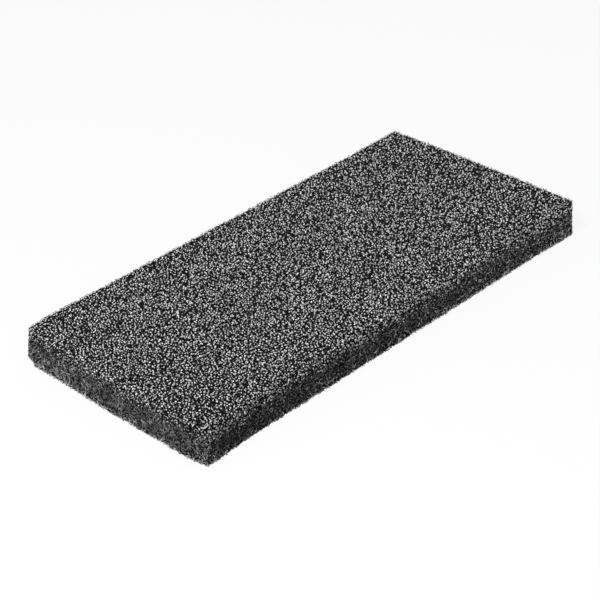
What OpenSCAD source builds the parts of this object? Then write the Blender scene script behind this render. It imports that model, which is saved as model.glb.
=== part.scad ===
// Diamond polishing pad: a rectangle cut from a thick open web of crimped, resin-bonded fibres.
// The origin is the middle of the underside, the length runs along X and the working face looks up.

/* [Pad] */
// Length of the pad, along X
pad_length = 254; // [200:1:300]
// Width of the pad, along Y
pad_width = 117; // [90:1:150]
// Thickness of the pad, along Z
pad_thickness = 20; // [10:0.5:30]

/* [Edges] */
// Radius of the springy edges round the working face and down the corners
edge_radius = 2.5; // [1:0.25:4]

/* [Web] */
// Spacing of the fibre knots that the open surface is drawn through
knot_pitch = 3.4; // [3.2:0.1:8]
// Depth of the deepest pits between the knots
pit_depth = 1.8; // [0.4:0.1:2]
// Share of the knots that stand at full height
proud_share = 0.3; // [0.1:0.05:0.6]
// Share of the spacing by which a knot may stray from its row
stray_share = 0.22; // [0:0.02:0.26]
// Number that picks one random web out of many
web_seed = 7; // [1:1:99]

/* [Wear] */
// Reach of the fray from the worn lower corner
fray_reach = 9; // [4:0.5:12]
// How far the fray has eaten into that corner
fray_depth = 2.5; // [0:0.25:5]
// Reach of the dent from the crushed upright corner
dent_reach = 11; // [6:0.5:14]
// How far the dent pushes that corner in, along X
dent_depth = 3; // [0:0.25:4]

/* [Hidden] */

pad_size = [pad_length, pad_width, pad_thickness];
low_corner = [-pad_length / 2, -pad_width / 2, 0];
worn_corner = [-pad_length / 2, pad_width / 2, 0];

// Middle block of the pad, which lies one edge radius in from the sides and the working face
core_low = low_corner + [edge_radius, edge_radius, 0];
core_high = low_corner + pad_size - [edge_radius, edge_radius, edge_radius];

// Web that hangs below the underside until it is sliced flat
slice_overrun = knot_pitch / 2;

// Cells between knots along X, Y and Z, and the number of knots once round the sides
cells = [for (size = pad_size) max(round(size / knot_pitch), 2)];
ring = 2 * (cells.x + cells.y);
side_knots = ring * cells.z;
face_knots = (cells.x + 1) * (cells.y + 1);
knots = side_knots + face_knots;

// One draw for each knot: how far it strays along X, Y and Z, and how deep it lies, where a negative is proud
strays = rands(-stray_share, stray_share, len(pad_size) * knots, web_seed);
pits = rands(-proud_share / (1 - proud_share), 1, knots, web_seed + 1);

// Column and row of the k-th knot round the sides, anticlockwise from the low corner
function ring_cell(k) =
    k < cells.x ? [k, 0]
    : k < cells.x + cells.y ? [cells.x, k - cells.x]
    : k < ring - cells.y ? [ring - cells.y - k, cells.y]
    : [0, ring - k];

// Number of a knot on the working face, and of the k-th knot round the sides at a level
function face_knot(i, j) = side_knots + j * (cells.x + 1) + i;
function side_knot(level, k) =
    let(cell = ring_cell(k % ring))
    level < cells.z ? level * ring + k % ring : face_knot(cell.x, cell.y);

// Column, row and level of a knot from its number
function knot_cell(n) =
    n < side_knots
    ? concat(ring_cell(n % ring), floor(n / ring))
    : [(n - side_knots) % (cells.x + 1), floor((n - side_knots) / (cells.x + 1)), cells.z];

// Place of a knot along one axis of the square-edged block, which it leaves on no side
function block_place(cell, axis, n) =
    let(free = cell[axis] > 0 && cell[axis] < cells[axis])
    let(stray = free ? strays[len(pad_size) * n + axis] : 0)
    low_corner[axis] + pad_size[axis] * (cell[axis] + stray) / cells[axis];

function clamp(p) = [for (a = [0:2]) min(max(p[a], core_low[a]), core_high[a])];

// Pull of the fray on a place near the worn corner, inwards along both sides
function fray(p) =
    fray_depth * max(1 - norm(p - worn_corner) / fray_reach, 0) * [1, -1, 0];

// Push of the dent on a place near the crushed corner, the same from the underside to the working face
function dent(p) =
    let(away = norm([p.x - low_corner.x, p.y - low_corner.y]))
    dent_depth * max(1 - away / dent_reach, 0) * [1, 0, 0];

// Place of a knot: rounded over the edges, sunk to its depth in the web, and moved by the fray and the dent
function knot_place(n) =
    let(cell = knot_cell(n))
    let(p = [for (a = [0:2]) block_place(cell, a, n)])
    let(middle = clamp(p))
    let(outwards = (p - middle) / norm(p - middle))
    let(height = edge_radius - pit_depth * max(pits[n], 0))
    let(below = cell.z == 0 ? slice_overrun : 0)
    middle + height * outwards + fray(p) + dent(p) - [0, 0, below];

// Two triangles over four knots, split along one diagonal or the other
function cell_faces(a, b, c, d, turn) =
    turn ? [[a, d, b], [b, d, c]] : [[a, d, c], [a, c, b]];

// Open web from the overrun up, as one closed skin through all the knots
module web_block() {
    places = [for (n = [0 : knots - 1]) knot_place(n)];
    sides = [
        for (level = [0 : cells.z - 1], k = [0 : ring - 1])
            each cell_faces(
                side_knot(level, k), side_knot(level, k + 1),
                side_knot(level + 1, k + 1), side_knot(level + 1, k),
                (level + k) % 2 == 0
            )
    ];
    working_face = [
        for (i = [0 : cells.x - 1], j = [0 : cells.y - 1])
            each cell_faces(
                face_knot(i, j), face_knot(i + 1, j),
                face_knot(i + 1, j + 1), face_knot(i, j + 1),
                (i + j) % 2 == 0
            )
    ];
    underside = [for (k = [0 : ring - 1]) [knots, k, (k + 1) % ring]];
    polyhedron(
        points = concat(places, [[0, 0, -slice_overrun]]),
        faces = concat(sides, working_face, underside)
    );
}

// Block below the underside, wider than the pad all round
module slice() {
    width = pad_width + 2 * slice_overrun;
    length = pad_length + 2 * slice_overrun;
    translate([-length / 2, -width / 2, -2 * slice_overrun])
        cube([length, width, 2 * slice_overrun]);
}

module pad() {
    color("#3c3c3c")
        difference() {
            web_block();
            slice();
        }
}

pad();
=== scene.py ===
# %% [markdown]
# # A diamond polishing pad
# The pad is a rectangle cut from a thick, open sheet of crimped fibres. Resin bonds the fibres where they
# cross, and diamond grit sits in the resin. One could paint that texture on a plain block, but then the
# outline would be a ruler line and the pits would be flat. Here the web is real: thousands of thin crimped
# tubes round a dark inner web, all fitted to the box of the solid part.

# %% Load the frame and read the pad's size
import math
from functools import partial

import bpy
from mathutils import Matrix, Vector


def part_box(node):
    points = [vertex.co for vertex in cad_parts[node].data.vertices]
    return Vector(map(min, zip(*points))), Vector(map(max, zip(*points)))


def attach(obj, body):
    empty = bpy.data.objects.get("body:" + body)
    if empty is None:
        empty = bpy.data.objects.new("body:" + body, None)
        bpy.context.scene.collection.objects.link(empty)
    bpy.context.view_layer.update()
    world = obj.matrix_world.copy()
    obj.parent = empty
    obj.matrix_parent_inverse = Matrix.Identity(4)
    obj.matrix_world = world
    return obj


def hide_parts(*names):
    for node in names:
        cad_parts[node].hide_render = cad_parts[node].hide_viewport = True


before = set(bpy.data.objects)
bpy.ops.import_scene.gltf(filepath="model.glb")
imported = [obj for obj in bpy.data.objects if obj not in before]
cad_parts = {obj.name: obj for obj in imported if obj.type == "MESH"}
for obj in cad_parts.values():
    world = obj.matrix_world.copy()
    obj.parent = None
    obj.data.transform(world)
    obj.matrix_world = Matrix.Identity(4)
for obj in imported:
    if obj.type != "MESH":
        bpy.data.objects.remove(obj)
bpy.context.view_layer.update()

MM = 0.001
low, high = (Vector(corner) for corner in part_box("pad"))
pad_size = high - low
print("pad in mm:", [round(side / MM, 1) for side in pad_size])

# %% [markdown]
# ## Two small helpers
# Colours are written as the sRGB hex values that the eye compares with the object, and one function turns
# them into the linear numbers that a shader wants. Every node in this file, in a material or in a geometry
# tree, is added by one other function: it takes the node's kind, its inputs and its settings.

# %% Colours and nodes


def linear(hex_colour):
    """A colour such as #3c3c3c as linear RGBA, by the sRGB standard's curve."""
    parts = [int(hex_colour[i : i + 2], 16) / 255 for i in (1, 3, 5)]
    return *(c / 12.92 if c <= 0.04045 else ((c + 0.055) / 1.055) ** 2.4 for c in parts), 1.0


def add_node(tree, kind, inputs=(), **settings):
    """One new node. Inputs are a list in order, or go by label, and a node gives its first output in use."""
    node = tree.nodes.new(kind)
    for name, value in settings.items():
        setattr(node, name, value)
    sockets = [socket for socket in node.inputs if socket.enabled]
    for key, source in inputs.items() if isinstance(inputs, dict) else enumerate(inputs):
        socket = sockets[key] if isinstance(key, int) else next(s for s in sockets if s.name == key)
        if isinstance(source, bpy.types.Node):
            source = next(output for output in source.outputs if output.enabled)
        if isinstance(source, bpy.types.NodeSocket):
            tree.links.new(source, socket)
        else:
            socket.default_value = source
    return node


print("black and white in linear numbers:", linear("#000000")[0], linear("#ffffff")[0])

# %% [markdown]
# ## The fibre's finish
# The fibre is nylon, drawn, crimped and then sprayed with resin and grit from the working side. Deep in the
# web it is near black, partly painted shade of the pits, on the cut sides it is a soft charcoal, and where
# dry grit sits on a loop it scatters light and looks pale; that white also paints the glints of the grit.
# The tree that lays the fibres writes that as one number for each point, the tone, and the material only
# turns tone into colour and roughness. A pattern by place would also work in a render, but a tone that
# belongs to the fibre stays right when thousands of thin tubes are baked.

# %% Grit-coated nylon fibre
TONE = "tone"
# The near-black end is partly painted shade of the pits, and the white end is pale grit with painted glints.
FIBRE_TONES = {0.0: "#080808", 0.25: "#222222", 0.45: "#6a6a6a", 0.6: "#d4d4d4", 0.85: "#ffffff"}
RESIN_ROUGHNESS = 0.5
GRIT_ROUGHNESS = 0.85
NYLON_IOR = 1.53

# Drawn nylon under sprayed resin: dark and a little shiny down in the web, where the black is partly painted
# shade, and pale and dry on the gritty loops, whose white partly paints glints.
fibre_nylon = bpy.data.materials.new("nylon_fibre_grit_coated_painted_shade_and_glints")
fibre_nylon.use_nodes = True
shader = fibre_nylon.node_tree.nodes["Principled BSDF"]
shader.inputs["IOR"].default_value = NYLON_IOR
add = partial(add_node, fibre_nylon.node_tree)
tone = add("ShaderNodeAttribute", attribute_name=TONE).outputs["Fac"]
ramp = add("ShaderNodeValToRGB", [tone])
stops = ramp.color_ramp.elements
while len(stops) < len(FIBRE_TONES):
    stops.new(1.0)
for stop, (place, colour) in zip(stops, FIBRE_TONES.items()):
    stop.position = place
    stop.color = linear(colour)
dryness = add("ShaderNodeMapRange", {"Value": tone, "To Min": RESIN_ROUGHNESS, "To Max": GRIT_ROUGHNESS})
fibre_nylon.node_tree.links.new(ramp.outputs["Color"], shader.inputs["Base Color"])
fibre_nylon.node_tree.links.new(dryness.outputs["Result"], shader.inputs["Roughness"])
print("fibre tones:", len(stops))

# %% [markdown]
# ## The finish of the inner web
# Between the outer fibres one looks down on deeper ones. Under the working face little light gets there and
# still less comes back, so they read as near-black clumps. Along the cut sides the fibres fill up to the
# surface, and the ground between them is a soft charcoal. One pair of greys for each, clouded by noise and
# blended by height, gives both without any gloss.

# %% Nylon web in shade
CLUMP_WIDTH = 1.6 * MM
CLUMP_STOPS = (0.3, 0.7)
PIT_GREYS = ("#040404", "#181818")
SIDE_GREYS = ("#020202", "#2c2c2c")
PITS_FROM = high.z - 7.0 * MM
PITS_FULL = high.z - 3.5 * MM
SHADE_ROUGHNESS = 1.0
SHADE_GLOSS = 0.05

# The same nylon as a tangle seen from above: the fibres trap the light, so hardly any gloss is left.
shaded_nylon = bpy.data.materials.new("nylon_web_in_shade")
shaded_nylon.use_nodes = True
shader = shaded_nylon.node_tree.nodes["Principled BSDF"]
shader.inputs["Roughness"].default_value = SHADE_ROUGHNESS
shader.inputs["Specular IOR Level"].default_value = SHADE_GLOSS
add = partial(add_node, shaded_nylon.node_tree)
where = add("ShaderNodeTexCoord").outputs["Object"]
clumps = add("ShaderNodeTexNoise", {"Vector": where, "Scale": 1 / CLUMP_WIDTH})
greys = []
for pair in (SIDE_GREYS, PIT_GREYS):
    ramp = add("ShaderNodeValToRGB", [clumps])
    for stop, place, colour in zip(ramp.color_ramp.elements, CLUMP_STOPS, pair):
        stop.position = place
        stop.color = linear(colour)
    greys.append(ramp)
height = add("ShaderNodeSeparateXYZ", [where]).outputs["Z"]
pits = add("ShaderNodeMapRange", {"Value": height, "From Min": PITS_FROM, "From Max": PITS_FULL})
both = add("ShaderNodeMix", [pits, *greys], data_type="RGBA")
shaded_nylon.node_tree.links.new(next(o for o in both.outputs if o.enabled), shader.inputs["Base Color"])
print("clumps every", CLUMP_WIDTH / MM, "mm")

# %% [markdown]
# ## Growing meshes with geometry nodes
# What repeats, or follows a rule, is grown by a geometry tree. Its sizes are named inputs, one for each
# entry of a table of sizes, and a modifier sets them by the identifier that Blender gave each one. The
# evaluated result then becomes a plain mesh and the modifier goes, so nothing is left to change later.

# %% Trees and the function that grows a piece
SOCKETS = {float: "Float", int: "Int", Vector: "Vector", bpy.types.Material: "Material"}


def new_tree(title, sizes):
    """A geometry tree with an input for each size after its geometry, and the outputs that give them."""
    tree = bpy.data.node_groups.new(title, "GeometryNodeTree")
    tree.interface.new_socket("Geometry", in_out="INPUT", socket_type="NodeSocketGeometry")
    tree.interface.new_socket("Geometry", in_out="OUTPUT", socket_type="NodeSocketGeometry")
    for name, value in sizes.items():
        kind = "NodeSocket" + SOCKETS[type(value)]
        tree.interface.new_socket(name, in_out="INPUT", socket_type=kind)
    return tree, add_node(tree, "NodeGroupInput").outputs


def grow(name, carrier, tree, sizes):
    """The plain mesh object that a tree makes on a carrier mesh."""
    piece = bpy.data.objects.new(name, carrier)
    bpy.context.scene.collection.objects.link(piece)
    grower = piece.modifiers.new("grow", "NODES")
    grower.node_group = tree
    identifiers = {s.name: s.identifier for s in tree.interface.items_tree if s.in_out == "INPUT"}
    for label, value in sizes.items():
        grower[identifiers[label]] = value
    graph = bpy.context.evaluated_depsgraph_get()
    mesh = bpy.data.meshes.new_from_object(piece.evaluated_get(graph), depsgraph=graph)
    piece.modifiers.remove(grower)
    piece.data = mesh
    mesh.name = name
    mesh.calc_loop_triangles()
    print(f"{name}: {len(mesh.loop_triangles)} triangles")
    return piece


print("kinds of size:", ", ".join(SOCKETS.values()))

# %% [markdown]
# ## The wear
# This pad has been handled. The upright corner at the front is crushed along its whole height, and the long
# side bulges beside it. The corner on the left leans: it is drawn in at the top, spreads towards the floor,
# and has lost fibres at its foot. The front corner, the left end and the right corner spread a little at the
# foot too, and the corner at the back is skewed. Every piece of the web takes part in that, so the wear is a
# short list of pulls, and one function adds them to a tree. A pull is full at its own place and nothing from
# a short reach on. Where the wear is the same from the floor to the top, only the distance in plan counts.

# %% Pulls at the corners and the feet
IN_SPACE = Vector((1, 1, 1))
IN_PLAN = Vector((1, 1, 0))
LEFT_FOOT = Vector((low.x, high.y, low.z))
LEFT_TOP = Vector((low.x, high.y, high.z))
RIGHT_FOOT = Vector((high.x, low.y, low.z))
LEFT_END_FOOT = Vector((low.x, (low.y + high.y) / 2, low.z))
BESIDE_FRONT = low + Vector((9.0, 0.0, 0.0)) * MM
WEAR = {
    "crushed front corner": (low, IN_PLAN, 11 * MM, Vector((2.1, 0.0, 0.0)) * MM),
    "bulge beside it": (BESIDE_FRONT, IN_PLAN, 20 * MM, Vector((0.0, -1.2, 0.0)) * MM),
    "drawn-in top on the left": (LEFT_TOP, IN_SPACE, 11 * MM, Vector((1.1, -1.1, 0.0)) * MM),
    "spread foot at the front": (low, IN_SPACE, 14 * MM, Vector((-0.8, -0.8, 0.0)) * MM),
    "spread foot on the left": (LEFT_FOOT, IN_SPACE, 9 * MM, Vector((-0.8, 0.8, 0.0)) * MM),
    "frayed foot on the left": (LEFT_FOOT, IN_SPACE, 4.5 * MM, Vector((2.4, -2.4, 0.0)) * MM),
    "bulging foot of the left end": (LEFT_END_FOOT, IN_SPACE, 35 * MM, Vector((-0.7, 0.0, 0.0)) * MM),
    "spread foot on the right": (RIGHT_FOOT, IN_SPACE, 30 * MM, Vector((0.4, -0.9, 0.0)) * MM),
    "skewed back corner": (high, IN_PLAN, 40 * MM, Vector((-1.0, 0.8, 0.0)) * MM),
}


def worn(tree, place):
    """A place as the wear leaves it."""
    add = partial(add_node, tree)
    moved = place
    for corner, counted, reach, pull in WEAR.values():
        aside = add("ShaderNodeVectorMath", [place, corner], operation="SUBTRACT")
        aside = add("ShaderNodeVectorMath", [aside, counted], operation="MULTIPLY")
        away = add("ShaderNodeVectorMath", [aside], operation="LENGTH")
        share = add("ShaderNodeMapRange", {"Value": away, "From Max": reach, "To Min": 1.0, "To Max": 0.0})
        push = add("ShaderNodeVectorMath", [pull, share], operation="SCALE")
        moved = add("ShaderNodeVectorMath", [moved, push], operation="ADD")
    return moved


for name, (_, _, reach, pull) in WEAR.items():
    print(f"{name}: {pull.length / MM:.1f} mm, over {reach / MM:.1f} mm")

# %% [markdown]
# ## The inner web
# The deep fibres can't be told apart, so they need no tubes. A closed box whose skin is pushed in and out by
# noise gives that dark ground with few faces. It stays a little below the surface, so that the pits between
# the outer fibres have a bottom.

# %% Sizes of the inner web
INNER_LOW = low + Vector((0.2, 0.2, 0.6)) * MM
INNER_HIGH = high - Vector((0.2, 0.2, 0.4)) * MM
INNER_CELL = 1.0 * MM
FLOOR_GAP = Vector((0.0, 0.0, 0.05)) * MM

inner_size = INNER_HIGH - INNER_LOW
WEB = {
    "Size": inner_size,
    "Middle": (INNER_LOW + INNER_HIGH) / 2,
    "Least": low + FLOOR_GAP,
    "Cells": Vector([math.ceil(side / INNER_CELL) for side in inner_size]),
    "Lump width": 2.0 * MM,
    "Lump height": 1.2 * MM,
    "Material": shaded_nylon,
}
print("cells of the inner web:", [round(count) for count in WEB["Cells"]])

# %% Grow the inner web
NOISE_MEAN = 0.5
NOISE_MIDDLE = Vector((NOISE_MEAN, NOISE_MEAN, NOISE_MEAN))

web_tree, sizes = new_tree("inner web", WEB)
add = partial(add_node, web_tree)
cells = add("ShaderNodeSeparateXYZ", [sizes["Cells"]]).outputs
block = add("GeometryNodeMeshCube", [sizes["Size"], cells["X"], cells["Y"], cells["Z"]])
place = add("GeometryNodeInputPosition")
centred = add("ShaderNodeVectorMath", [place, sizes["Middle"]], operation="ADD")
fineness = add("ShaderNodeMath", [1.0, sizes["Lump width"]], operation="DIVIDE")
noise = add("ShaderNodeTexNoise", {"Vector": centred, "Scale": fineness})
swing = add("ShaderNodeVectorMath", [noise.outputs["Color"], NOISE_MIDDLE], operation="SUBTRACT")
lumps = add("ShaderNodeVectorMath", [swing, sizes["Lump height"]], operation="SCALE")
lumpy = add("ShaderNodeVectorMath", [centred, lumps], operation="ADD")
lumpy = add("ShaderNodeVectorMath", [lumpy, sizes["Least"]], operation="MAXIMUM")
placed = add("GeometryNodeSetPosition", {"Geometry": block, "Position": worn(web_tree, lumpy)})
smooth = add("GeometryNodeSetShadeSmooth", {"Geometry": placed})
real = add("GeometryNodeRealizeInstances", [smooth])
dressed = add("GeometryNodeSetMaterial", {"Geometry": real, "Material": sizes["Material"]})
add("NodeGroupOutput", [dressed])
inner_web = grow("inner_web", bpy.data.meshes.new("inner_web_carrier"), web_tree, WEB)

# %% [markdown]
# ## The sizes of a fibre
# Real fibres of this kind are about 0.1 mm thick, far too fine to show from a step away, so they are drawn a
# few times thicker and fewer, most with one bead of grit. This table holds what the working face needs, and
# each other side changes a few of its entries. Lengths are in metres by way of millimetres, and a tone runs
# from 0, the black of a pit in its painted shade, to 1, a white bead whose white partly paints glints.

# %% Sizes of the working face's fibres
FACE_LAYERS = 3
FIBRE = {
    "Seed": 11,
    "Spacing": 1.0 * MM,
    "Layers": FACE_LAYERS,
    "Layer": 0,
    "Fibre length": 2.0 * MM,
    "Points along a fibre": 5,
    "Fibre diameter": 0.28 * MM,
    "Most depth": 0.4 * MM,
    "Lean": math.radians(45),
    "Crimp pitch": 0.75 * MM,
    "Crimp height": Vector((2.4, 2.4, 2.4)) * MM,
    "Low corner": low - Vector((0.4, 0.4, 0.0)) * MM,
    "High corner": high + Vector((0.4, 0.4, 0.2)) * MM,
    "Corner radius": 2.0 * MM,
    "Ragged": 0.2 * MM,
    # Painted shade of the pits: the tone fades to black from the first depth to the second.
    "Painted pit shade from": 0.8 * MM,
    "Painted pit shade full": 1.6 * MM,
    "Coat from": high.z - 12.5 * MM,
    "Coat full": high.z - 3.0 * MM,
    "Cloud width": 5.0 * MM,
    "Cloud height": 6.0 * MM,
    "Dust slope": Vector((1.2, 1.0, 0.0)),
    "Pale reach": 14.0 * MM,
    "Pale gain": 0.25,
    # Painted light thrown up by the white floor along the foot of every side: its reach and gain.
    "Floor light reach": 4.0 * MM,
    "Floor light gain": 0.35,
    "Bare tone": 0.5,
    "Bare spread": 0.6,
    "Bare clouds": 0.7,
    "Resin tone": 0.16,
    # The beads' white is pale grit and partly painted glints.
    "Least grit and glint tone": 0.85,
    "Bead share": 0.9,
    "Least swell": 1.6,
    "Most swell": 3.9,
    "Matting": 0.7,
    "Material": fibre_nylon,
}
print("sizes of a fibre:", len(FIBRE))

# %% [markdown]
# ## Fibres, first step: straight threads
# A staple fibre is a thin thread with a random crimp. One could model one fibre and copy it, but copies look
# alike. Here each fibre starts as a straight line on a random point of a side of the pad, turned at random,
# leaning a little and sunk to a depth of its own. The roots keep their distance from each other, so the web
# has no bald patches. A thread has few points, and they crowd towards its middle, where a bead may sit. The
# large working face is shared out over several pieces, which take the roots in turn.

# %% Roots over a side
# Points tried for each square of the spacing, enough to fill a side.
CROWDING = 6.0
# Numbers that keep the random draws of the fibres apart.
DEPTH_DRAW, LEAN_DRAW, TURN_DRAW, RAGGED_DRAW, GRIT_DRAW, BEAD_DRAW, BARE_DRAW, BULK_DRAW = range(8)

fibre_tree, sizes = new_tree("crimped fibres", FIBRE)
add = partial(add_node, fibre_tree)
place = add("GeometryNodeInputPosition")
crowd = add("ShaderNodeMath", [sizes["Spacing"], sizes["Spacing"]], operation="MULTIPLY")
crowd = add("ShaderNodeMath", [CROWDING, crowd], operation="DIVIDE")
roots = add(
    "GeometryNodeDistributePointsOnFaces",
    [sizes["Geometry"], True, sizes["Spacing"], crowd, 1.0, sizes["Seed"]],
    distribute_method="POISSON",
).outputs
depth = add("FunctionNodeRandomValue", {"Max": sizes["Most depth"], "Seed": DEPTH_DRAW})
sink = add("ShaderNodeVectorMath", [roots["Normal"], depth], operation="SCALE")
below = add("ShaderNodeVectorMath", [place, sink], operation="SUBTRACT")
sunk = add("GeometryNodeSetPosition", {"Geometry": roots["Points"], "Position": below})
print("nodes for the roots:", len(fibre_tree.nodes))

# %% One straight thread
# How far a thread's points crowd towards its middle, where 0 leaves them even.
GATHERING = 0.6

half_length = add("ShaderNodeMath", [sizes["Fibre length"], 2.0], operation="DIVIDE")
back_length = add("ShaderNodeMath", [0.0, half_length], operation="SUBTRACT")
ahead, behind = (add("ShaderNodeCombineXYZ", {"X": length}) for length in (half_length, back_length))
line = add("GeometryNodeCurvePrimitiveLine", {"Start": behind, "End": ahead})
even = add("GeometryNodeResampleCurve", {"Curve": line, "Count": sizes["Points along a fibre"]})
off_middle = add("ShaderNodeVectorMath", [place], operation="LENGTH")
off_middle = add("ShaderNodeMath", [off_middle, half_length], operation="DIVIDE")
gathering = add("ShaderNodeMath", [off_middle, GATHERING], operation="POWER")
gathered = add("ShaderNodeVectorMath", [place, gathering], operation="SCALE")
thread = add("GeometryNodeSetPosition", {"Geometry": even, "Position": gathered})
print("nodes so far:", len(fibre_tree.nodes))

# %% A thread on each root
lean_back = add("ShaderNodeMath", [0.0, sizes["Lean"]], operation="SUBTRACT")
lean = add("FunctionNodeRandomValue", {"Min": lean_back, "Max": sizes["Lean"], "Seed": LEAN_DRAW})
turn = add("FunctionNodeRandomValue", {"Max": math.tau, "Seed": TURN_DRAW})
tilt = add("FunctionNodeEulerToRotation", [add("ShaderNodeCombineXYZ", {"Y": lean, "Z": turn})])
turned = add("FunctionNodeRotateRotation", [roots["Rotation"], tilt], rotation_space="LOCAL")
number = add("GeometryNodeInputIndex")
layer = add("ShaderNodeMath", [number, sizes["Layers"]], operation="MODULO")
chosen = add("FunctionNodeCompare", [layer, sizes["Layer"]], data_type="INT", operation="EQUAL")
laid = add(
    "GeometryNodeInstanceOnPoints",
    {"Points": sunk, "Selection": chosen, "Instance": thread, "Rotation": turned},
)
threads = add("GeometryNodeRealizeInstances", [laid])
print("nodes so far:", len(fibre_tree.nodes))

# %% [markdown]
# ## Fibres, second step: the crimp
# Crimped fibre bends every few millimetres, first one way and then another. A noise field pushes every point
# of a thread aside. It has a fourth dimension, and each fibre reads it at a place of its own there, so that
# neighbours don't bend alike.

# %% Bend each thread by noise of its own
FIBRE_STEP = 3.7

on_fibre = add("GeometryNodeCurveOfPoint").outputs
fibre_number = on_fibre["Curve Index"]
own_noise = add("ShaderNodeMath", [fibre_number, FIBRE_STEP], operation="MULTIPLY")
fineness = add("ShaderNodeMath", [1.0, sizes["Crimp pitch"]], operation="DIVIDE")
noise = add(
    "ShaderNodeTexNoise",
    {"Vector": place, "W": own_noise, "Scale": fineness, "Detail": 0.0},
    noise_dimensions="4D",
)
swing = add("ShaderNodeVectorMath", [noise.outputs["Color"], NOISE_MIDDLE], operation="SUBTRACT")
bend = add("ShaderNodeVectorMath", [swing, sizes["Crimp height"]], operation="MULTIPLY")
crimped = add("GeometryNodeSetPosition", {"Geometry": threads, "Offset": bend})
print("nodes so far:", len(fibre_tree.nodes))

# %% [markdown]
# ## Fibres, third step: the cut
# A die cuts the real sheet, and loops at the cut spring back into the web. Clipping the threads at the box
# would line its edges with straight wires, so each thread turns back like a mirror image where it would
# leave the box. The box is a little larger or smaller for each fibre, which leaves the outline ragged. Then
# the upright corners are eased by their radius.

# %% Turn the fibres back at the sides of the pad
ragged_in = add("ShaderNodeMath", [0.0, sizes["Ragged"]], operation="SUBTRACT")
ragged = add(
    "FunctionNodeRandomValue",
    {"Min": ragged_in, "Max": sizes["Ragged"], "ID": fibre_number, "Seed": RAGGED_DRAW},
)
fibre_low = add("ShaderNodeVectorMath", [sizes["Low corner"], ragged], operation="SUBTRACT")
fibre_high = add("ShaderNodeVectorMath", [sizes["High corner"], ragged], operation="ADD")
inside = add("ShaderNodeVectorMath", [place, fibre_low], operation="SUBTRACT")
span = add("ShaderNodeVectorMath", [fibre_high, fibre_low], operation="SUBTRACT")
inside = add("ShaderNodeSeparateXYZ", [inside]).outputs
span = add("ShaderNodeSeparateXYZ", [span]).outputs
mirrored = [add("ShaderNodeMath", [inside[axis], span[axis]], operation="PINGPONG") for axis in "XYZ"]
turned_back = add("ShaderNodeCombineXYZ", mirrored)
kept = add("ShaderNodeVectorMath", [turned_back, fibre_low], operation="ADD")
print("nodes so far:", len(fibre_tree.nodes))

# %% Ease the upright corners
radius = sizes["Corner radius"]
inset = add("ShaderNodeCombineXYZ", [radius, radius])
core_low = add("ShaderNodeVectorMath", [fibre_low, inset], operation="ADD")
core_high = add("ShaderNodeVectorMath", [fibre_high, inset], operation="SUBTRACT")
above = add("ShaderNodeVectorMath", [kept, core_low], operation="MAXIMUM")
core = add("ShaderNodeVectorMath", [above, core_high], operation="MINIMUM")
outwards = add("ShaderNodeVectorMath", [kept, core], operation="SUBTRACT")
reach = add("ShaderNodeVectorMath", [outwards], operation="LENGTH")
over = add("ShaderNodeMath", [reach, radius], operation="MAXIMUM")
share = add("ShaderNodeMath", [radius, over], operation="DIVIDE")
eased = add("ShaderNodeVectorMath", [outwards, share], operation="SCALE")
rounded = add("ShaderNodeVectorMath", [core, eased], operation="ADD")
trimmed = add("GeometryNodeSetPosition", {"Geometry": crimped, "Position": rounded})
print("nodes so far:", len(fibre_tree.nodes))

# %% [markdown]
# ## Fibres, fourth step: the tone
# Four things set how pale a point of a fibre is. Depth: down in a pit it is dark, a painted shade. Coat: the
# spray came from above, so on the cut sides it thins out downwards, with a cloudy border. Dust: it lies a
# little heavier towards one corner of the pad, and the points are paler at the feet of the two corners on
# the left end. Along the foot of every side they are paler too, a painted light thrown up by the white
# floor, and one number carries it with the dust. Grit: most coated fibres have one bead of resin and grit at
# their middle, pale and thick, whose white partly paints the glints of the grit, and where the dust and that
# painted light weigh heavy the beads are fewer and larger.

# %% How deep a point lies
box_size = add("ShaderNodeVectorMath", [sizes["High corner"], sizes["Low corner"]], operation="SUBTRACT")
half_size = add("ShaderNodeVectorMath", [box_size, 0.5], operation="SCALE")
centre = add("ShaderNodeVectorMath", [sizes["High corner"], half_size], operation="SUBTRACT")
off_centre = add("ShaderNodeVectorMath", [place, centre], operation="SUBTRACT")
off_centre = add("ShaderNodeVectorMath", [off_centre], operation="ABSOLUTE")
depths = add("ShaderNodeVectorMath", [half_size, off_centre], operation="SUBTRACT")
depths = add("ShaderNodeSeparateXYZ", [depths]).outputs
depth = add("ShaderNodeMath", [depths["X"], depths["Y"]], operation="MINIMUM")
depth = add("ShaderNodeMath", [depth, depths["Z"]], operation="MINIMUM")
# Painted shade: deeper points are darkened, down to black in the pits.
pit, top = sizes["Painted pit shade full"], sizes["Painted pit shade from"]
painted_pit_shade_factor = add("ShaderNodeMapRange", {"Value": depth, "From Min": pit, "From Max": top})
print("nodes so far:", len(fibre_tree.nodes))

# %% How well the coat and the dust reached it, and the painted floor light
cloud_fineness = add("ShaderNodeMath", [1.0, sizes["Cloud width"]], operation="DIVIDE")
cloud = add("ShaderNodeTexNoise", {"Vector": place, "Scale": cloud_fineness})
cloud = add("ShaderNodeMath", [cloud, NOISE_MEAN], operation="SUBTRACT")
height = add("ShaderNodeSeparateXYZ", [place]).outputs["Z"]
level = add("ShaderNodeMath", [cloud, sizes["Cloud height"], height], operation="MULTIPLY_ADD")
border, full = sizes["Coat from"], sizes["Coat full"]
coat = add("ShaderNodeMapRange", {"Value": level, "From Min": border, "From Max": full})
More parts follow.
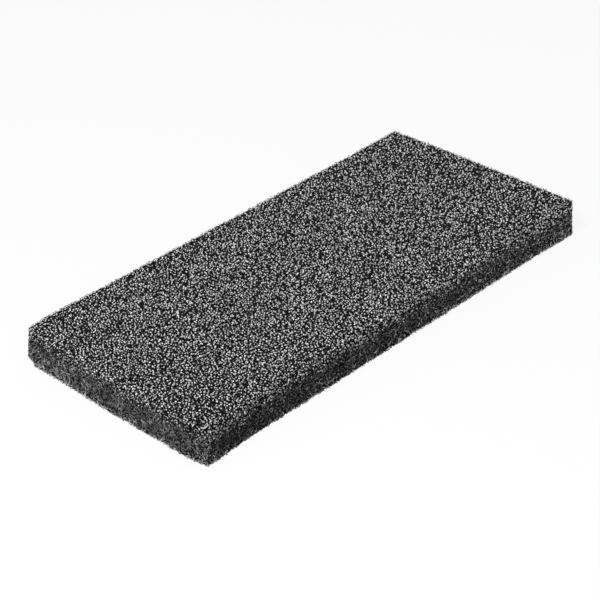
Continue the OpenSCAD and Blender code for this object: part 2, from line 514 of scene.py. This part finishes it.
# One number for the dust and the paler feet; the painted light from the floor is added to it below.
dust_and_floor_light = add("ShaderNodeVectorMath", [place, sizes["Dust slope"]], operation="DOT_PRODUCT")
dust_and_floor_light = add("ShaderNodeMath", [dust_and_floor_light, 1.0], operation="ADD")
for foot in (LEFT_FOOT, low):
    away = add("ShaderNodeVectorMath", [place, foot], operation="DISTANCE")
    pale = add("ShaderNodeMapRange", {"Value": away, "From Min": sizes["Pale reach"], "From Max": 0.0})
    dust_and_floor_light = add("ShaderNodeMath", [pale, sizes["Pale gain"], dust_and_floor_light], operation="MULTIPLY_ADD")
# Painted light from the white floor: paler towards the foot of every side.
pale = add("ShaderNodeMapRange", {"Value": height, "From Min": sizes["Floor light reach"], "From Max": 0.0})
dust_and_floor_light = add("ShaderNodeMath", [pale, sizes["Floor light gain"], dust_and_floor_light], operation="MULTIPLY_ADD")
print("nodes so far:", len(fibre_tree.nodes))

# %% Beads of grit
middle = add("FunctionNodeIntegerMath", [sizes["Points along a fibre"], 2], operation="DIVIDE")
near = add("FunctionNodeCompare", [on_fibre["Index in Curve"], middle], data_type="INT", operation="EQUAL")
chance = add("FunctionNodeRandomValue", {"Max": dust_and_floor_light, "ID": fibre_number, "Seed": GRIT_DRAW})
gritty = add("ShaderNodeMath", [chance, sizes["Bead share"]], operation="LESS_THAN")
grit = add("ShaderNodeMath", [near, gritty], operation="MULTIPLY")
# The bead's tone: pale grit, with painted glints in its white.
bead = add("FunctionNodeRandomValue", {"Min": sizes["Least grit and glint tone"], "Seed": BEAD_DRAW})
coated = add("ShaderNodeMix", {"Factor": grit, "A": sizes["Resin tone"], "B": bead})
print("nodes so far:", len(fibre_tree.nodes))

# %% Tone and thickness of each point
SWELL = "swell"

chance = add("FunctionNodeRandomValue", {"Min": -1.0, "ID": fibre_number, "Seed": BARE_DRAW})
uneven = add("ShaderNodeMath", [chance, sizes["Bare spread"], dust_and_floor_light], operation="MULTIPLY_ADD")
uneven = add("ShaderNodeMath", [cloud, sizes["Bare clouds"], uneven], operation="MULTIPLY_ADD")
bare = add("ShaderNodeMath", [sizes["Bare tone"], uneven], operation="MULTIPLY")
finish = add("ShaderNodeMix", {"Factor": coat, "A": bare, "B": coated})
tone = add("ShaderNodeMath", [painted_pit_shade_factor, finish], operation="MULTIPLY")

least, most = sizes["Least swell"], sizes["Most swell"]
bulk = add("FunctionNodeRandomValue", {"Min": least, "Max": most, "Seed": BULK_DRAW})
bulk = add("ShaderNodeMath", [bulk, dust_and_floor_light], operation="MULTIPLY")
bulge = add("ShaderNodeMath", [bulk, grit], operation="MULTIPLY")
extra = add("ShaderNodeMix", {"Factor": coat, "A": sizes["Matting"], "B": bulge})
swell = add("ShaderNodeMath", [extra, 1.0], operation="ADD")
finished = trimmed
for name, value in ((TONE, tone), (SWELL, swell)):
    finished = add("GeometryNodeStoreNamedAttribute", {"Geometry": finished, "Name": name, "Value": value})
print("nodes so far:", len(fibre_tree.nodes))

# %% [markdown]
# ## Fibres, fifth step: the wear
# Tone and thickness are stored on the points, so the fibres can now be pulled at the worn corners without
# turning dark, as a fibre deep in the web would be. After that nothing may sink into the floor: the lowest
# points stay up by the radius of a matted fibre.

# %% Pull the worn corners and keep off the floor
fibre_radius = add("ShaderNodeMath", [sizes["Fibre diameter"], 2.0], operation="DIVIDE")
thickest = add("ShaderNodeMath", [fibre_radius, sizes["Matting"], fibre_radius], operation="MULTIPLY_ADD")
ground = add("ShaderNodeSeparateXYZ", [sizes["Low corner"]]).outputs["Z"]
lowest = add("ShaderNodeMath", [ground, thickest], operation="ADD")
moved = add("ShaderNodeSeparateXYZ", [worn(fibre_tree, place)]).outputs
height = add("ShaderNodeMath", [moved["Z"], lowest], operation="MAXIMUM")
standing = add("ShaderNodeCombineXYZ", [moved["X"], moved["Y"], height])
handled = add("GeometryNodeSetPosition", {"Geometry": finished, "Position": standing})
print("nodes so far:", len(fibre_tree.nodes))

# %% [markdown]
# ## Fibres, last step: tubes with a palette
# A ring swept along each thread makes it a closed tube. Three sides are enough for a tube that is a pixel
# wide, with smooth shading. The tube's texture map is a palette: across runs the tone, up runs the way round
# the ring. So a baked picture holds each tone once, and every tube finds its own colour in it.

# %% Sweep the tubes and store the palette map
ROUND = "round"
RING_SIDES = 3
PALETTE_MARGIN = 0.02

ring = add("GeometryNodeCurvePrimitiveCircle", {"Resolution": RING_SIDES, "Radius": fibre_radius})
number = add("GeometryNodeInputIndex")
round_share = add("ShaderNodeMath", [number, RING_SIDES - 1.0], operation="DIVIDE")
ring = add("GeometryNodeStoreNamedAttribute", {"Geometry": ring, "Name": ROUND, "Value": round_share})
stored = [add("GeometryNodeInputNamedAttribute", {"Name": name}) for name in (TONE, ROUND, SWELL)]
tubes = add("GeometryNodeCurveToMesh", [handled, ring, stored[2], True])
margins = {"To Min": PALETTE_MARGIN, "To Max": 1 - PALETTE_MARGIN}
across, around = (add("ShaderNodeMapRange", {"Value": value, **margins}) for value in stored[:2])
palette = add("ShaderNodeCombineXYZ", [across, around])
mapped = add(
    "GeometryNodeStoreNamedAttribute",
    {"Geometry": tubes, "Name": "OFBake", "Value": palette},
    data_type="FLOAT2",
    domain="CORNER",
)
smooth = add("GeometryNodeSetShadeSmooth", {"Geometry": mapped})
real = add("GeometryNodeRealizeInstances", [smooth])
dressed = add("GeometryNodeSetMaterial", {"Geometry": real, "Material": sizes["Material"]})
add("NodeGroupOutput", [dressed])
print("nodes in the fibre tree:", len(fibre_tree.nodes))

# %% [markdown]
# ## The sizes of the other sides
# The cut sides are matted: their bare fibres are thicker and lie flat. On the long sides the coat reaches
# further down, with larger beads over darker bare fibres; that darker tone is painted shade, deeper than the
# half shade the lamp leaves there. At the ends it is a narrower band over paler ones. The hidden underside
# gets one layer of coarser matted fibres, all bare. Each of these tables is the working face's with a few
# entries changed, so a size that all sides share is still written once.

# %% Sizes of the other sides' fibres
SIDE = {**FIBRE, "Layers": 1, "Ragged": 0.05 * MM, "Matting": 0.8}
LONG_SIDE = {
    **SIDE,
    "Crimp height": Vector((3.0, 1.0, 3.0)) * MM,
    # Painted shade: the long sides' bare fibres are darker than the ends'.
    "Bare tone": 0.37,
    "Bare spread": 0.5,
    "Resin tone": 0.34,
    "Bead share": 1.0,
    "Most swell": 6.0,
}
SHORT_SIDE = {
    **SIDE,
    "Crimp height": Vector((1.0, 3.0, 3.0)) * MM,
    "Coat from": high.z - 9.0 * MM,
    "Coat full": high.z - 0.5 * MM,
    # Painted light from the floor, weaker at the ends.
    "Floor light gain": 0.2,
    "Bare tone": 0.48,
    "Bare spread": 0.2,
    "Resin tone": 0.3,
    "Matting": 1.2,
}
UNDERSIDE = {
    **SIDE,
    "Seed": 16,
    "Spacing": 1.7 * MM,
    "Fibre length": 3.4 * MM,
    "Fibre diameter": 0.46 * MM,
    "Crimp pitch": 1.3 * MM,
    "Low corner": low - Vector((0.1, 0.1, 0.0)) * MM,
    "High corner": high + Vector((0.1, 0.1, 0.0)) * MM,
    "Bare tone": 0.42,
    "Bare spread": 0.3,
    "Matting": 1.2,
}
for name, table in {"long sides": LONG_SIDE, "ends": SHORT_SIDE, "underside": UNDERSIDE}.items():
    print(f"{name}: {sum(table[size] != FIBRE[size] for size in FIBRE)} sizes changed")

# %% [markdown]
# ## Laying the fibres on each side
# A carrier mesh of one face says where the fibres of a side go. The working face's carrier is a little wider
# than the pad. Its outermost fibres turn back too, so that the rim is dense enough to give a clean edge
# against the light. The fibres of the cut sides end below that rim.

# %% Lay the fibres
RIM = Vector((0.8, 0.8, 0.0)) * MM
SIDE_GAP = Vector((0.0, 0.0, 1.2)) * MM


def lay_fibres(name, corner_numbers, lowest, highest, sizes):
    """Fibres over one side of a box, whose corners count with X fastest and Z slowest."""
    levels = list(zip(lowest, highest))
    places = [(x, y, z) for z in levels[2] for y in levels[1] for x in levels[0]]
    carrier = bpy.data.meshes.new(name + "_carrier")
    carrier.from_pydata(places, [], [corner_numbers])
    return grow(name, carrier, fibre_tree, sizes)


# Corner numbers run anticlockwise as seen from outside.
TOP = (4, 5, 7, 6)
BOTTOM = (0, 2, 3, 1)
CUT_SIDES = {
    "front_fibres": ((0, 1, 5, 4), {**LONG_SIDE, "Seed": 12}),
    "back_fibres": ((3, 2, 6, 7), {**LONG_SIDE, "Seed": 13}),
    "right_end_fibres": ((1, 3, 7, 5), {**SHORT_SIDE, "Seed": 14}),
    "left_end_fibres": ((2, 0, 4, 6), {**SHORT_SIDE, "Seed": 15}),
}
fibres = [
    lay_fibres(f"face_fibres_{layer + 1}", TOP, low - RIM, high + RIM, {**FIBRE, "Layer": layer})
    for layer in range(FACE_LAYERS)
]
for name, (corner_numbers, table) in CUT_SIDES.items():
    fibres.append(lay_fibres(name, corner_numbers, low, high - SIDE_GAP, table))
fibres.append(lay_fibres("underside_fibres", BOTTOM, low, high, UNDERSIDE))

# %% [markdown]
# ## The floor
# The pad lies on a pale floor. The camera sees the floor as nearly white, and what light it throws back on
# the pad comes from a plain grey. Both are one material that asks what kind of ray has come: a mirror or a
# glass would see the white too. Some of the floor's own shading is kept, for the pad's soft shadow.

# %% Floor
FLOOR_SIDE = 20.0

floor_mesh = bpy.data.meshes.new("floor")
floor_ends = (-FLOOR_SIDE / 2, FLOOR_SIDE / 2)
floor_mesh.from_pydata([(x, y, low.z) for y in floor_ends for x in floor_ends], [], [(0, 1, 3, 2)])
floor = bpy.data.objects.new("floor", floor_mesh)
bpy.context.scene.collection.objects.link(floor)
print("floor:", FLOOR_SIDE, "m a side")

# %% Floor paint
FLOOR_GREY = "#9a9a9a"
FLOOR_SEEN = "#f4f4f4"
FLOOR_WHITE_SHARE = 0.85


def seen_directly(tree):
    """1 for what the camera sees, also in a mirror or through glass, and 0 for light on its way."""
    path = add_node(tree, "ShaderNodeLightPath").outputs
    rays = [path["Is Camera Ray"], path["Is Glossy Ray"]]
    either = add_node(tree, "ShaderNodeMath", rays, operation="MAXIMUM")
    return add_node(tree, "ShaderNodeMath", [either, path["Is Transmission Ray"]], operation="MAXIMUM")


# Matt floor paint: it shows no gloss, only a faint shadow round the pad.
floor_paint = bpy.data.materials.new("pale_floor_paint")
floor_paint.use_nodes = True
floor_paint.node_tree.nodes.clear()
add = partial(add_node, floor_paint.node_tree)
seen = seen_directly(floor_paint.node_tree)
grey = add("ShaderNodeMix", [seen, linear(FLOOR_GREY), linear(FLOOR_SEEN)], data_type="RGBA")
paint = add("ShaderNodeBsdfDiffuse", [grey])
white = add("ShaderNodeEmission")
whiteness = add("ShaderNodeMath", [seen, FLOOR_WHITE_SHARE], operation="MULTIPLY")
both = add("ShaderNodeMixShader", [whiteness, paint, white])
add("ShaderNodeOutputMaterial", [both])
floor_mesh.materials.append(floor_paint)
print("nodes in the floor paint:", len(floor_paint.node_tree.nodes))

# %% [markdown]
# ## The light
# A weak even sky fills the pits, and one large lamp stands to the front left, high up. That side lights the
# beads where the camera sees them, and leaves the long side in half shade. Together they give a plain level,
# at which a grey renders about as it is written.

# %% Sky
SKY_STRENGTH = 0.4

world = bpy.data.worlds.new("studio")
bpy.context.scene.world = world
world.use_nodes = True
world.node_tree.nodes.clear()
add = partial(add_node, world.node_tree)
strength = add("ShaderNodeMix", [seen_directly(world.node_tree), SKY_STRENGTH, 1.0])
sky = add("ShaderNodeBackground", {"Color": linear("#ffffff"), "Strength": strength})
add("ShaderNodeOutputWorld", [sky])
print("sky:", SKY_STRENGTH, "of white on the pad")

# %% Lamp
KEY_DIRECTION = Vector((-0.6, -0.2, 0.77)).normalized()
KEY_DISTANCE = 1.2
KEY_SIDE = 0.5
KEY_POWER = 12.0

lamp = bpy.data.lights.new("key", "AREA")
lamp.size = KEY_SIDE
lamp.energy = KEY_POWER
key = bpy.data.objects.new("key", lamp)
key.location = KEY_DIRECTION * KEY_DISTANCE
key.rotation_euler = KEY_DIRECTION.to_track_quat("Z", "Y").to_euler()
bpy.context.scene.collection.objects.link(key)
print("lamp at", [round(side, 2) for side in key.location], "m")

# %% [markdown]
# ## The camera
# The edges of the pad in the picture fix the camera: how far round and how high it stands, how it is tilted,
# how far off it is and how long its lens is. Distances are counted in pad lengths and the lens in pixels of
# the picture, because those are what one can measure.

# %% Directions of the camera
CAMERA_AZIMUTH = math.radians(-44.17)
CAMERA_ELEVATION = math.radians(32.62)
CAMERA_ROLL = math.radians(-2.67)

level = Vector((math.cos(CAMERA_AZIMUTH), math.sin(CAMERA_AZIMUTH), 0))
nearer = Vector((math.sin(CAMERA_AZIMUTH), -math.cos(CAMERA_AZIMUTH), 0))
back = math.cos(CAMERA_ELEVATION) * nearer + math.sin(CAMERA_ELEVATION) * Vector((0, 0, 1))
upright = back.cross(level)
right = math.cos(CAMERA_ROLL) * level + math.sin(CAMERA_ROLL) * upright
up = math.cos(CAMERA_ROLL) * upright - math.sin(CAMERA_ROLL) * level
print("towards the camera:", [round(share, 2) for share in back])

# %% Camera
CAMERA_DISTANCE = 3.459 * pad_size.x
CAMERA_RIGHT = -0.0235 * pad_size.x
CAMERA_UP = -0.0066 * pad_size.x
IMAGE_PIXELS = 600
FOCAL_PIXELS = 1818

stand = CAMERA_DISTANCE * back + CAMERA_RIGHT * right + CAMERA_UP * up
view = bpy.data.cameras.new("camera")
view.lens = view.sensor_width * FOCAL_PIXELS / IMAGE_PIXELS
camera = bpy.data.objects.new("camera", view)
camera.matrix_world = Matrix.Translation(stand) @ Matrix((right, up, back)).transposed().to_4x4()
bpy.context.scene.collection.objects.link(camera)
bpy.context.scene.camera = camera
bpy.context.scene.view_settings.view_transform = "Standard"
print(f"camera: {CAMERA_DISTANCE:.2f} m away, {view.lens:.0f} mm lens")

# %% [markdown]
# ## Attach the pieces
# The pad has no joints, so every piece rides on its one body. The inner web stands for the solid part,
# which is hidden. The web is springy and full.

for piece in [inner_web, *fibres]:
    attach(piece, "root")
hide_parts("pad")
print("pieces:", len(fibres) + 1)
